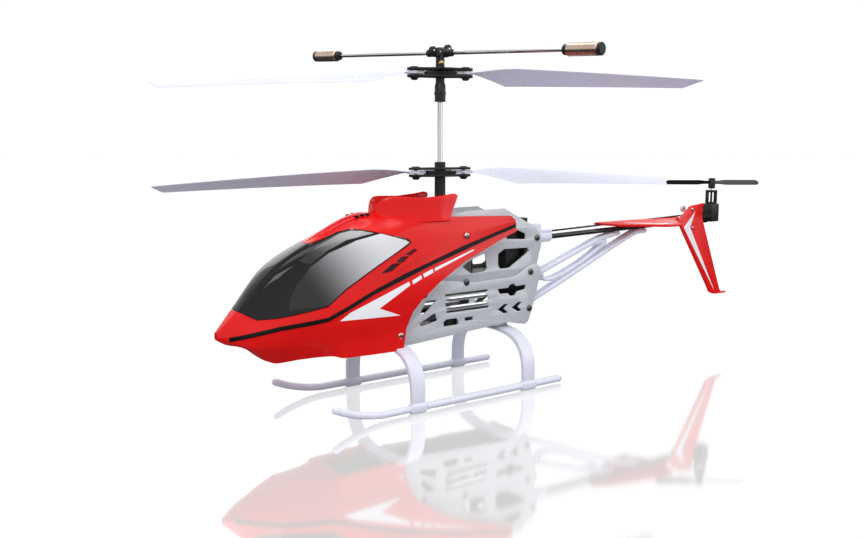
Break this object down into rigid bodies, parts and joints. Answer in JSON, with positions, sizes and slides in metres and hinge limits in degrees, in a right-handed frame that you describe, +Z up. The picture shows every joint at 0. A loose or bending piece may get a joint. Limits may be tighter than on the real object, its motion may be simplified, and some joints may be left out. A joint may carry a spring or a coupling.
{
  "type": "remote control helicopter",
  "caption": "Indoor coaxial remote control helicopter with contra-rotating rotors, a weighted flybar, skid landing gear and a tail propeller that pitches it.",
  "frame": {"origin": "middle of the bounding box's footprint, at the undersides of the skid clips", "axes": "+X towards the tail, +Y to the helicopter's right, +Z up; the mast axis is at x = -0.0560 m"},
  "size_m": [0.3962, 0.1862, 0.1839],
  "materials": {
    "red_plastic": "gloss moulded plastic",
    "smoked_plastic": "black gloss, smoked",
    "plate_metal": "silver-grey painted sheet, fine speckle",
    "white_plastic": "white moulded plastic, satin",
    "black_plastic": "black moulded plastic, satin",
    "boom_black": "black tube, satin",
    "battery_wrap": "shrink wrap",
    "steel": "bright drawn rod",
    "champagne_metal": "champagne plated, brushed",
    "nylon": "natural nylon",
    "brass": "machined"
  },
  "bodies": {
    "airframe": {"canopy": "red_plastic", "windshield": "smoked_plastic", "crest": "red_plastic", "plate_upper_right": "plate_metal", "plate_lower_right": "plate_metal", "plate_upper_left": "plate_metal", "plate_lower_left": "plate_metal", "chassis": "black_plastic", "battery": "battery_wrap", "receiver": "black_plastic", "motor_right": "steel", "motor_left": "steel", "switch_body": "black_plastic", "leg_front": "white_plastic", "leg_rear": "white_plastic", "skid_right": "white_plastic", "skid_left": "white_plastic", "boom_clamp": "white_plastic", "tail_boom": "boom_black", "tail_rod": "boom_black", "tail_brace_right": "white_plastic", "tail_brace_left": "white_plastic", "stabilizer": "red_plastic", "fin": "red_plastic", "tail_mount": "black_plastic", "tail_motor": "black_plastic"},
    "lower_rotor": {"shaft_outer": "black_plastic", "gear_lower_rotor": "nylon", "hub_lower_bottom": "black_plastic", "hub_lower_top": "black_plastic", "blade_screw_lower_a": "steel", "blade_screw_lower_b": "steel"},
    "blade_lower_a": {"blade_lower_a": "white_plastic"},
    "blade_lower_b": {"blade_lower_b": "white_plastic"},
    "upper_rotor": {"shaft_inner": "steel", "gear_upper_rotor": "nylon", "head_post": "black_plastic"},
    "upper_head": {"hub_upper_bottom": "black_plastic", "hub_upper_top": "black_plastic", "blade_screw_upper_a": "steel", "blade_screw_upper_b": "steel"},
    "blade_upper_a": {"blade_upper_a": "white_plastic"},
    "blade_upper_b": {"blade_upper_b": "white_plastic"},
    "flybar": {"flybar_yoke": "black_plastic", "flybar_rod_a": "steel", "flybar_weight_a": "champagne_metal", "flybar_rod_b": "steel", "flybar_weight_b": "champagne_metal"},
    "link_a": {"link_a": "black_plastic"},
    "link_b": {"link_b": "black_plastic"},
    "pinion_lower": {"pinion_lower_rotor": "brass"},
    "pinion_upper": {"pinion_upper_rotor": "brass"},
    "tail_propeller": {"tail_rotor": "black_plastic"},
    "power_switch": {"switch_knob": "black_plastic"}
  },
  "joints": [
    {"name": "lower_rotor_spin", "type": "hinge", "parent": "airframe", "child": "lower_rotor", "pos_m": [-0.05599, 0, 0.115], "axis": [0, 0, 1], "continuous": true},
    {"name": "upper_rotor_spin", "type": "hinge", "parent": "airframe", "child": "upper_rotor", "pos_m": [-0.05599, 0, 0.15], "axis": [0, 0, 1], "continuous": true},
    {"name": "pinion_lower_spin", "type": "hinge", "parent": "airframe", "child": "pinion_lower", "pos_m": [-0.04481, -0.0057, 0.057], "axis": [0, 0, 1], "continuous": true},
    {"name": "pinion_upper_spin", "type": "hinge", "parent": "airframe", "child": "pinion_upper", "pos_m": [-0.04481, 0.0057, 0.0505], "axis": [0, 0, 1], "continuous": true},
    {"name": "flybar_teeter", "type": "hinge", "parent": "upper_rotor", "child": "flybar", "pos_m": [-0.05599, 0, 0.1763], "axis": [0.974, 0.2267, 0], "range_deg": [-13, 10]},
    {"name": "upper_head_tilt", "type": "hinge", "parent": "upper_rotor", "child": "upper_head", "pos_m": [-0.05599, 0, 0.1664], "axis": [0.9107, -0.4131, 0], "range_deg": [-9.5, 7.5]},
    {"name": "link_a_travel", "type": "slide", "parent": "upper_rotor", "child": "link_a", "axis": [0, 0, 1], "range_m": [-0.0016, 0.0016]},
    {"name": "link_b_travel", "type": "slide", "parent": "upper_rotor", "child": "link_b", "axis": [0, 0, 1], "range_m": [-0.0016, 0.0016]},
    {"name": "tail_rotor_spin", "type": "hinge", "parent": "airframe", "child": "tail_propeller", "pos_m": [0.17221, 0, 0.104], "axis": [0, 0, 1], "continuous": true},
    {"name": "power_switch_slide", "type": "slide", "parent": "airframe", "child": "power_switch", "axis": [1, 0, 0], "range_m": [0, 0.003]},
    {"name": "blade_lower_a_swing", "type": "hinge", "parent": "lower_rotor", "child": "blade_lower_a", "pos_m": [-0.04287, -0.00315, 0.115], "axis": [0, 0, 1], "range_deg": [-40, 40]},
    {"name": "blade_lower_b_swing", "type": "hinge", "parent": "lower_rotor", "child": "blade_lower_b", "pos_m": [-0.06912, 0.00315, 0.115], "axis": [0, 0, 1], "range_deg": [-40, 40]},
    {"name": "blade_upper_a_swing", "type": "hinge", "parent": "upper_head", "child": "blade_upper_a", "pos_m": [-0.0437, -0.00558, 0.166], "axis": [0, 0, 1], "range_deg": [-40, 40]},
    {"name": "blade_upper_b_swing", "type": "hinge", "parent": "upper_head", "child": "blade_upper_b", "pos_m": [-0.06829, 0.00558, 0.166], "axis": [0, 0, 1], "range_deg": [-40, 40]}
  ],
  "couplings": [
    {"joint": "pinion_lower_spin", "follows": "lower_rotor_spin", "ratio": -4},
    {"joint": "pinion_upper_spin", "follows": "upper_rotor_spin", "ratio": -4},
    {"joint": "upper_head_tilt", "follows": "flybar_teeter", "ratio": 0.72217},
    {"joint": "link_a_travel", "follows": "flybar_teeter", "m_per_rad": -0.007},
    {"joint": "link_b_travel", "follows": "flybar_teeter", "m_per_rad": 0.007}
  ]
}
